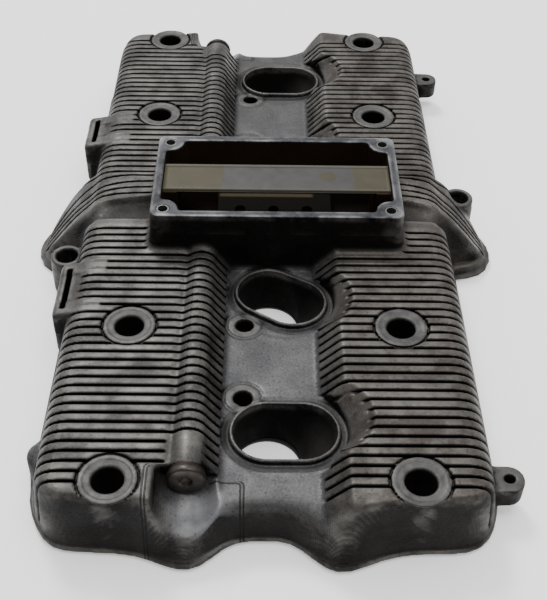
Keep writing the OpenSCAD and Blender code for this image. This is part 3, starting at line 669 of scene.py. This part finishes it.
# ---------------------------------------------------------------- materials
class Nodes:
    """Short hand for wiring a material."""

    def __init__(self, name):
        self.mat = bpy.data.materials.new(name)
        self.mat.use_nodes = True
        self.tree = self.mat.node_tree
        self.bsdf = self.tree.nodes["Principled BSDF"]
        coords = self.tree.nodes.new("ShaderNodeTexCoord")
        self.place = coords.outputs["Object"]

    def link(self, a, b):
        self.tree.links.new(a, b)

    def attribute(self, name):
        node = self.tree.nodes.new("ShaderNodeAttribute")
        node.attribute_name = name
        return node.outputs["Fac"]

    def axes(self, vector):
        node = self.tree.nodes.new("ShaderNodeSeparateXYZ")
        self.link(vector, node.inputs[0])
        return node.outputs

    def distance(self, point, at):
        node = self.tree.nodes.new("ShaderNodeVectorMath")
        node.operation = "DISTANCE"
        self.link(point, node.inputs[0])
        node.inputs[1].default_value = at
        return node.outputs["Value"]

    def noise(self, scale, detail=4.0, rough=0.6, distort=0.0):
        node = self.tree.nodes.new("ShaderNodeTexNoise")
        node.inputs["Scale"].default_value = scale
        node.inputs["Detail"].default_value = detail
        node.inputs["Roughness"].default_value = rough
        node.inputs["Distortion"].default_value = distort
        self.link(self.place, node.inputs["Vector"])
        return node.outputs["Fac"]

    def cells(self, scale):
        node = self.tree.nodes.new("ShaderNodeTexVoronoi")
        node.inputs["Scale"].default_value = scale
        self.link(self.place, node.inputs["Vector"])
        return node.outputs["Distance"]

    def math(self, kind, a, b=0.0, clamp=False):
        node = self.tree.nodes.new("ShaderNodeMath")
        node.operation = kind
        node.use_clamp = clamp
        for socket, value in zip(node.inputs, (a, b)):
            if isinstance(value, (int, float)):
                socket.default_value = value
            else:
                self.link(value, socket)
        return node.outputs[0]

    def span(self, value, lo, hi, out_lo=0.0, out_hi=1.0):
        node = self.tree.nodes.new("ShaderNodeMapRange")
        for name, number in (("From Min", lo), ("From Max", hi), ("To Min", out_lo), ("To Max", out_hi)):
            node.inputs[name].default_value = number
        self.link(value, node.inputs["Value"])
        return node.outputs["Result"]

    def ramp(self, value, stops):
        node = self.tree.nodes.new("ShaderNodeValToRGB")
        ramp = node.color_ramp
        for n, (place, colour) in enumerate(stops):
            stop = ramp.elements[n] if n < 2 else ramp.elements.new(place)
            stop.position = place
            stop.color = (*colour, 1.0)
        self.link(value, node.inputs["Fac"])
        return node.outputs["Color"]

    def mix(self, factor, a, b, kind="MIX"):
        node = self.tree.nodes.new("ShaderNodeMix")
        node.data_type = "RGBA"
        node.blend_type = kind
        for socket, value in ((node.inputs["Factor"], factor), (node.inputs[6], a), (node.inputs[7], b)):
            if isinstance(value, (int, float)):
                socket.default_value = value
            elif isinstance(value, tuple):
                socket.default_value = (*value, 1.0)
            else:
                self.link(value, socket)
        return node.outputs[2]

    def bump(self, height, distance, strength=1.0):
        node = self.tree.nodes.new("ShaderNodeBump")
        node.inputs["Strength"].default_value = strength
        node.inputs["Distance"].default_value = distance
        self.link(height, node.inputs["Height"])
        self.link(node.outputs["Normal"], self.bsdf.inputs["Normal"])

    def set(self, name, value):
        socket = self.bsdf.inputs[name]
        if isinstance(value, (int, float)):
            socket.default_value = value
        elif isinstance(value, tuple):
            socket.default_value = (*value, 1.0)
        else:
            self.link(value, socket)


def cast_aluminium():
    n = Nodes("cast_aluminium")
    dirt_and_shade, inside, edge = n.attribute("dirt_and_shade"), n.attribute("inside"), n.attribute("edge")
    seat, rim = n.attribute("seat"), n.attribute("rim")
    px, py, pz = n.axes(n.place)
    geometry = n.tree.nodes.new("ShaderNodeNewGeometry")
    facing_up = n.axes(geometry.outputs["Normal"])[2]
    broad = n.noise(14.0, 3.0, 0.55)
    blotch = n.noise(55.0, 5.0, 0.65, 0.3)
    grain = n.noise(900.0, 3.0, 0.7)
    tone = n.math("ADD", n.math("MULTIPLY", broad, 0.5), n.math("MULTIPLY", blotch, 0.5))
    tone = n.span(tone, 0.30, 0.70)
    skin = n.ramp(tone, [(0.0, (0.034, 0.031, 0.028)), (1.0, (0.080, 0.078, 0.076)),
                         (0.5, (0.054, 0.051, 0.048))])
    # the plug valley is cooler in colour, the far half darker, the tower over +X browner
    cool = n.ramp(tone, [(0.0, (0.039, 0.039, 0.041)), (1.0, (0.076, 0.076, 0.078))])
    low = n.math("MULTIPLY", n.span(pz, (V + 4.5) * MM, (V + 1.5) * MM),
                 n.span(pz, (V - 9.0) * MM, (V - 6.0) * MM))
    skin = n.mix(low, skin, cool)
    old = n.span(py, 0.02, 0.16, 0.0, 0.55)
    skin = n.mix(old, skin, n.mix(1.0, skin, (0.56, 0.53, 0.50), "MULTIPLY"))
    brown = n.math("MULTIPLY", n.span(px, 0.020, 0.045), n.span(broad, 0.35, 0.60, 0.35, 0.85))
    skin = n.mix(brown, skin, n.mix(1.0, skin, (0.78, 0.68, 0.60), "MULTIPLY"))
    # painted shade: upright walls are painted darker than the tops
    upright = n.span(facing_up, 0.75, 0.25)
    painted_wall_shade = n.mix(tone, (0.0030, 0.0026, 0.0025), (0.0085, 0.0077, 0.0074))
    skin = n.mix(n.math("MULTIPLY", upright, 0.9), skin, painted_wall_shade)
    # a paler band on the edge of the foot, with a dark line over it
    band = n.math("MULTIPLY", n.span(pz, 0.0040, 0.0036), upright)
    skin = n.mix(n.math("MULTIPLY", band, 0.6), skin, (0.036, 0.034, 0.032))
    lip = n.span(n.math("ABSOLUTE", n.math("SUBTRACT", pz, 0.0046)), 0.0006, 0.0002)
    skin = n.mix(n.math("MULTIPLY", lip, 0.6), skin, (0.0030, 0.0025, 0.0023))
    fine = n.span(grain, 0.3, 0.7, 0.62, 1.34)
    skin = n.mix(1.0, skin, fine, "MULTIPLY")
    # wear on proud edges; grime and painted shade darken the grooves, creases and hollows
    worn = n.math("MULTIPLY", n.span(edge, 0.12, 0.45), n.span(blotch, 0.42, 0.64), True)
    skin = n.mix(n.math("MULTIPLY", worn, 0.55), skin, (0.14, 0.133, 0.122))
    grime_and_shade = n.math("MAXIMUM", n.span(dirt_and_shade, 0.16, 0.85), n.span(edge, -0.10, -0.55))
    skin = n.mix(n.math("MULTIPLY", grime_and_shade, 0.90), skin, (0.0052, 0.0046, 0.0043))
    # twin seams round the cast patch at each gallery plug
    side = n.math("SUBTRACT", n.math("ABSOLUTE", n.math("ADD", px, 0.0293)), 0.0175)
    side = n.math("MAXIMUM", side, 0.0)
    end = n.math("MAXIMUM", n.math("SUBTRACT", 0.1743, n.math("ABSOLUTE", py)), 0.0)
    ring = n.math("SQRT", n.math("ADD", n.math("MULTIPLY", side, side), n.math("MULTIPLY", end, end)))
    seam = 0.0
    for radius in (0.0017, 0.0031):
        line = n.span(n.math("ABSOLUTE", n.math("SUBTRACT", ring, radius)), 0.00048, 0.00022)
        seam = line if seam == 0.0 else n.math("MAXIMUM", seam, line)
    seam = n.math("MULTIPLY", seam, n.span(n.math("ABSOLUTE", py), 0.1715, 0.1719))
    open_side = n.math("MAXIMUM", n.span(px, -0.024, -0.023), n.span(side, 0.0005, 0.0008))
    seam = n.math("MULTIPLY", seam, open_side)
    skin = n.mix(n.math("MULTIPLY", seam, 0.85), skin, (0.0049, 0.0042, 0.0042))
    # painted highlight: a bright floor in the scoop in front of each gallery plug, strongest where it faces
    # up
    mirror = n.tree.nodes.new("ShaderNodeCombineXYZ")
    n.link(n.math("MULTIPLY", px, 0.8), mirror.inputs[0])
    n.link(n.math("ABSOLUTE", py), mirror.inputs[1])
    near = n.distance(mirror.outputs[0], (0.8 * -0.0265, 0.1855, 0.0))
    rubbed = n.math("MULTIPLY", n.span(near, 0.0125, 0.004), n.span(blotch, 0.30, 0.55, 0.55, 1.0))
    rubbed = n.math("MULTIPLY", rubbed, n.span(facing_up, 0.25, 0.55))
    skin = n.mix(rubbed, skin, (0.200, 0.202, 0.208))
    # oil on the inside, brown varnish in the breather chamber, specks all over
    oily = n.mix(0.2, (0.050, 0.046, 0.043), skin)
    skin = n.mix(inside, skin, oily)
    chamber = n.math("MULTIPLY", n.span(n.math("ABSOLUTE", n.math("SUBTRACT", px, 0.0054)), 0.0612, 0.0606),
                     n.span(n.math("ABSOLUTE", py), 0.0322, 0.0316))
    chamber = n.math("MULTIPLY", chamber, n.span(pz, (RIM - 0.6) * MM, (RIM - 1.2) * MM))
    # painted shade: the breather chamber darkens towards its floor
    well = n.math("MULTIPLY", chamber, n.span(pz, (CHAMBER_FLOOR + 12.0) * MM, (CHAMBER_FLOOR + 6.0) * MM))
    skin = n.mix(chamber, skin, n.mix(tone, (0.020, 0.0122, 0.0085), (0.042, 0.026, 0.018)))
    skin = n.mix(n.math("MULTIPLY", well, 0.8), skin, (0.0035, 0.0024, 0.0018))
    spots = n.span(n.cells(330.0), 0.08, 0.20, 0.25, 1.0)
    skin = n.mix(0.7, skin, n.mix(1.0, skin, spots, "MULTIPLY"))
    # turned seats and foot, milled rim
    turned = n.mix(n.span(n.noise(160.0, 5.0), 0.35, 0.7), (0.040, 0.039, 0.038), (0.086, 0.085, 0.082))
    milled = n.span(n.noise(90.0, 5.0, 0.7), 0.38, 0.66)
    milled = n.mix(milled, (0.010, 0.011, 0.013), (0.064, 0.066, 0.074))
    skin = n.mix(seat, skin, turned)
    skin = n.mix(rim, skin, milled)
    skin = n.mix(n.math("MULTIPLY", rim, n.math("MULTIPLY", worn, 0.8)), skin, (0.22, 0.222, 0.226))
    n.set("Base Color", skin)
    n.set("Metallic", 0.45)
    n.set("Specular IOR Level", n.span(n.math("MAXIMUM", chamber, upright), 0.0, 1.0, 0.30, 0.05))
    rough = n.span(blotch, 0.3, 0.7, 0.56, 0.36)
    rough = n.math("ADD", rough, n.math("MULTIPLY", grime_and_shade, 0.35), True)
    n.set("Roughness", rough)
    height = n.math("ADD", n.math("MULTIPLY", grain, 0.35), n.math("MULTIPLY", blotch, 0.65))
    height = n.math("SUBTRACT", height, n.math("MULTIPLY", seam, 0.8))
    n.bump(height, 0.0006, 0.55)
    return n.mat


def simple_metal(name, dark, light, rough, scale=120.0, metallic=0.8, bump=0.0002):
    n = Nodes(name)
    wear = n.noise(scale, 5.0, 0.65, 0.2)
    n.set("Base Color", n.ramp(n.span(wear, 0.32, 0.68), [(0.0, dark), (1.0, light)]))
    n.set("Metallic", metallic)
    n.set("Roughness", n.span(wear, 0.3, 0.7, rough + 0.12, rough - 0.08))
    n.bump(n.noise(scale * 6, 3.0, 0.7), bump, 0.5)
    return n.mat


def soft_black(name, shade, rough):
    n = Nodes(name)
    wear = n.noise(90.0, 5.0, 0.6)
    dark = tuple(c * 0.6 for c in shade)
    n.set("Base Color", n.ramp(n.span(wear, 0.35, 0.7), [(0.0, dark), (1.0, shade)]))
    n.set("Roughness", n.span(wear, 0.3, 0.7, rough, rough - 0.15))
    n.bump(n.noise(700.0, 3.0, 0.7), 0.0002, 0.4)
    return n.mat


def bar_finish():
    """Yellow passivated sheet, rubbed back to grey over the middle of the bar."""
    n = Nodes("bar_zinc")
    px, py, _ = n.axes(n.place)
    wander = n.math("MULTIPLY", n.noise(60.0, 3.0), 0.006)
    along = n.math("ABSOLUTE", n.math("SUBTRACT", n.math("ADD", px, wander), 0.0145))
    ends = n.span(along, 0.0336, 0.0348)
    tan = n.ramp(n.noise(80.0, 5.0, 0.6), [(0.3, (0.026, 0.0215, 0.0080)), (0.7, (0.040, 0.034, 0.0130))])
    grey = n.ramp(n.noise(110.0, 5.0, 0.6), [(0.3, (0.023, 0.0222, 0.0205)), (0.7, (0.040, 0.039, 0.0365))])
    mark = n.span(n.distance(n.place, (0.0324, 0.0005, (T + 20.0) * MM)), 0.0048, 0.0042)
    sheet = n.mix(n.math("MAXIMUM", ends, mark), grey, tan)
    # painted shade: a dark line along the groove by the far lip
    line = n.span(n.math("ABSOLUTE", n.math("SUBTRACT", py, 0.0085)), 0.00042, 0.00018)
    sheet = n.mix(n.math("MULTIPLY", line, 0.75), sheet, (0.004, 0.0033, 0.0026))
    # painted highlight on the far bead and the rolled near edge
    bead = n.math("MAXIMUM", n.span(py, 0.0087, 0.0090), n.span(py, -0.0098, -0.0102))
    sheet = n.mix(n.math("MULTIPLY", bead, 0.35), sheet, (0.115, 0.103, 0.078))
    n.set("Base Color", sheet)
    n.set("Metallic", 0.35)
    n.set("Roughness", 0.55)
    n.bump(n.noise(300.0, 4.0, 0.6), 0.0003, 0.4)
    return n.mat


def tray_finish():
    """Sheet painted near black for the shade deep in the slot, bright tan along one shallow ridge."""
    n = Nodes("tray_zinc")
    px, py, _ = n.axes(n.place)
    ridge = n.span(n.math("ABSOLUTE", n.math("SUBTRACT", py, 0.0122)), 0.0020, 0.0007)
    ridge = n.math("MULTIPLY", ridge, n.span(n.math("ABSOLUTE", px), 0.0262, 0.0245))
    shade_mottle = n.noise(90.0, 5.0, 0.65, 0.2)
    # painted shade over all the tray except the tan ridge
    n.set("Base Color", n.mix(ridge, n.mix(shade_mottle, (0.0030, 0.0020, 0.0014), (0.0062, 0.0042, 0.0028)),
                              (0.062, 0.050, 0.028)))
    n.set("Metallic", 0.3)
    n.set("Specular IOR Level", 0.08)
    n.set("Roughness", 0.65)
    n.bump(n.noise(540.0, 3.0, 0.7), 0.0002, 0.5)
    return n.mat


# ---------------------------------------------------------------- small pieces
def lathe(name, profile, sides=72):
    """A closed ring of quads from (radius, height) pairs, turned about Z, with its ends on the axis."""
    verts, faces = [], []
    rings = []
    for r, h in profile:
        if r <= 0:
            rings.append([len(verts)])
            verts.append((0.0, 0.0, h))
        else:
            rings.append(list(range(len(verts), len(verts) + sides)))
            verts += [(r * math.cos(2 * math.pi * k / sides), r * math.sin(2 * math.pi * k / sides), h)
                      for k in range(sides)]
    for a, b in zip(rings, rings[1:]):
        for k in range(sides):
            m = (k + 1) % sides
            ring = [a[k % len(a)], a[m % len(a)], b[m % len(b)], b[k % len(b)]]
            faces.append([v for n, v in enumerate(ring) if v not in ring[:n]])
    mesh = bpy.data.meshes.new(name)
    mesh.from_pydata([tuple(c * MM for c in v) for v in verts], [], faces)
    mesh.validate()
    mesh.shade_smooth()
    return linked(name, mesh)


def place(obj, at, turn=None):
    m = Matrix.Translation(Vector(at) * MM)
    if turn is not None:
        m = m @ turn
    obj.data.transform(m)


def dress(obj, material, *nodes, slot=None):
    obj.data.materials.clear()
    obj.data.materials.append(material)
    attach(obj, "root")
    if nodes:
        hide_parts(*nodes)


def gallery_plug(s, name):
    profile = [(0, 1.4), (1.2, 1.5), (2.5, 2.4), (2.9, 3.35), (3.1, 3.4), (7.0, 3.4), (7.6, 3.2),
               (8.1, 2.7), (8.3, 2.2), (8.3, 0.35), (8.05, 0.0), (5.2, 0.0), (4.95, -0.3),
               (4.95, -12.0), (4.4, -12.6), (0, -12.6)]
    obj = lathe(name, profile)
    turn = Matrix.Rotation(math.radians(90 if s < 0 else -90), 4, "X")
    place(obj, (TUBE[0], s * (TUBE_END + 1.5), TUBE[1]), turn)
    return obj


def baffle_bar():
    """Folded sheet: a flat top with a rolled near edge and a bead along the far one."""
    lo, hi = [[v / MM for v in c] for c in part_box("baffle_bar")]
    x0, x1 = lo[0], hi[0]
    top = hi[2]
    thick = 1.2
    edge = [(-11.0, -1.7), (-11.0, -1.2), (-10.8, -0.5), (-10.3, -0.1), (-9.6, 0.0), (-7, 0), (-4, 0),
            (0, 0), (4, 0), (7, 0), (9.2, 0), (9.5, -0.35), (9.8, -0.35), (10.1, 0.0), (10.6, 0.0),
            (11.0, -0.5)]
    n = 61
    xs = np.linspace(x0, x1, n)
    outer = [(px, a, top + b) for px in xs for a, b in edge]
    inner = [(px, a * (1 - thick / 11.0), top + min(b, 0.0) - thick) for px in xs for a, b in edge]
    m = len(edge)
    verts = outer + inner
    faces = []
    off = len(outer)
    for i in range(n - 1):
        for j in range(m - 1):
            a = i * m + j
            faces.append((a, a + 1, a + m + 1, a + m)[::-1])
            faces.append((off + a, off + a + 1, off + a + m + 1, off + a + m))
        for j in (0, m - 1):
            a = i * m + j
            ring = (a, a + m, off + a + m, off + a)
            faces.append(ring if j == 0 else ring[::-1])
    for i in (0, n - 1):
        for j in range(m - 1):
            a = i * m + j
            ring = (a, a + 1, off + a + 1, off + a)
            faces.append(ring if i else ring[::-1])
    mesh = bpy.data.meshes.new("baffle_bar_folded")
    mesh.from_pydata([tuple(c * MM for c in v) for v in verts], [], faces)
    mesh.validate()
    mesh.shade_smooth()
    return linked("baffle_bar_folded", mesh)


# ---------------------------------------------------------------- assembly
def build():
    steel = simple_metal("plug_steel", (0.018, 0.0142, 0.012), (0.06, 0.054, 0.047), 0.40)
    copper = simple_metal("washer_copper", (0.009, 0.0067, 0.006), (0.03, 0.02, 0.0158), 0.6)
    plated = simple_metal("screw_steel", (0.045, 0.042, 0.03), (0.09, 0.084, 0.064), 0.4, 200.0)
    satin = simple_metal("sleeve_steel", (0.083, 0.083, 0.079), (0.165, 0.165, 0.158), 0.35, 200.0)
    carrier = simple_metal("carrier_steel", (0.034, 0.032, 0.03), (0.083, 0.08, 0.079), 0.4)
    rubber = soft_black("seal_rubber", (0.015, 0.0146, 0.0142), 0.75)
    pad = soft_black("pad_plastic", (0.022, 0.0188, 0.0158), 0.6)

    casting = cast_body()
    dress(casting, cast_aluminium(), "cover_casting", slot="cast_aluminium")
    for s, end in ((-1, "front"), (1, "rear")):
        plug = gallery_plug(s, "gallery_plug_%s_turned" % end)
        dress(plug, steel, "gallery_plug_" + end, slot="plug_steel")
    dress(baffle_bar(), bar_finish(), "baffle_bar", slot="bar_zinc")
    looks = {"gallery_washer": copper, "baffle_tray": tray_finish(), "baffle_screws": plated,
             "thread_sleeve": satin, "perimeter_gasket": rubber, "plug_well_seal": rubber,
             "dowel_sleeves": satin, "chain_guide_carrier": carrier, "chain_guide_pad": pad,
             "chain_guide_bolts": plated}
    for name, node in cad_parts.items():
        for start, material in looks.items():
            if name.startswith(start):
                node.data.materials.clear()
                node.data.materials.append(material)


def studio():
    floor = bpy.data.meshes.new("floor")
    # just under the object, so that the two faces never coincide
    level = -0.0004
    corners = [(x, y, level) for x, y in ((-6, -6), (6, -6), (6, 8), (-6, 8))]
    floor.from_pydata(corners, [], [(0, 1, 2, 3)])
    obj = linked("floor", floor)
    n = Nodes("floor_paper")
    n.set("Base Color", (0.93, 0.93, 0.93))
    n.set("Roughness", 0.9)
    n.set("Specular IOR Level", 0.1)
    n.set("Emission Color", (1.0, 1.0, 1.0))
    n.set("Emission Strength", 0.35)
    floor.materials.append(n.mat)

    # soft dome, brightest overhead and behind the far end
    world = bpy.data.worlds.new("studio")
    bpy.context.scene.world = world
    world.use_nodes = True
    tree = world.node_tree
    back = tree.nodes["Background"]
    back.inputs["Color"].default_value = (1.0, 1.0, 1.0, 1.0)
    coords = tree.nodes.new("ShaderNodeTexCoord")
    lean = tree.nodes.new("ShaderNodeVectorMath")
    lean.operation = "DOT_PRODUCT"
    lean.inputs[1].default_value = (0.0, 0.45, 0.89)
    tree.links.new(coords.outputs["Generated"], lean.inputs[0])
    fade = tree.nodes.new("ShaderNodeMapRange")
    for name, value in (("From Min", -0.1), ("From Max", 0.95), ("To Min", 0.15), ("To Max", 1.5)):
        fade.inputs[name].default_value = value
    tree.links.new(lean.outputs["Value"], fade.inputs["Value"])
    tree.links.new(fade.outputs["Result"], back.inputs["Strength"])

    def area(name, at, look, size, power):
        light = bpy.data.lights.new(name, "AREA")
        light.shape = "DISK"
        light.size = size
        light.energy = power
        lamp = linked(name, light)
        lamp.location = at
        lamp.rotation_euler = (Vector(look) - Vector(at)).to_track_quat("-Z", "Y").to_euler()

    area("key", (-0.62, 1.35, 2.2), (0, 0, 0), 0.7, 46.0)
    area("top", (0.25, -0.30, 1.5), (0, -0.1, 0), 0.9, 9.5)


def camera():
    """The photograph's pinhole: above the near end, looking down at the cover along the camshafts."""
    data = bpy.data.cameras.new("camera")
    data.sensor_width = 36.0
    data.lens = 61.08
    data.shift_y = -0.01728
    cam = linked("camera", data)
    right = Vector((0.99989188, -0.00197905, 0.01457078))
    down = Vector((0.00932182, -0.68103402, -0.73219244))
    ahead = Vector((0.01137224, 0.7322491, -0.68094194))
    turn = Matrix((right, -down, -ahead)).transposed().to_4x4()
    cam.matrix_world = Matrix.Translation(Vector((-1.837, -431.3, T + 340.34)) * MM) @ turn
    bpy.context.scene.camera = cam


build()
studio()
camera()
